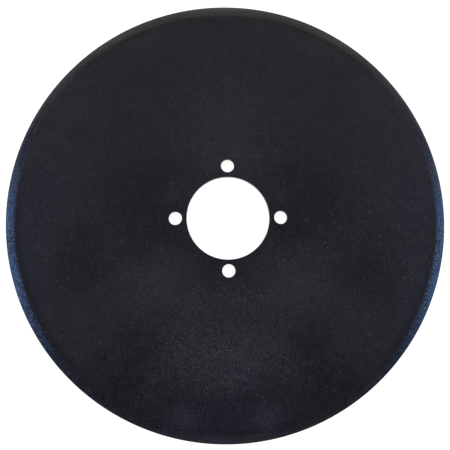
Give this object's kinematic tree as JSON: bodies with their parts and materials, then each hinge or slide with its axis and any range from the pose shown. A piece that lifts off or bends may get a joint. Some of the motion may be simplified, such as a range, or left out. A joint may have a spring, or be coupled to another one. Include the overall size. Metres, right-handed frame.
{
  "type": "disc coulter",
  "caption": "Flat round plough coulter disc of dark hardened steel, sharpened from both faces all round its rim, with a hub bore and a ring of bolt holes.",
  "frame": {"origin": "centre of the disc's lower face, on the axis of the hub bore", "axes": "+Z along the disc's axis, square to both faces; +X through the centre of a bolt hole; +Y through the centre of the next bolt hole"},
  "size_m": [0.4499, 0.45, 0.005],
  "materials": {
    "hardened_steel": "satin blue-black coat with fine metallic sparkle, blue to grey sheen on the bevel"
  },
  "bodies": {
    "root": {"coulter_disc": "hardened_steel"}
  },
  "joints": []
}
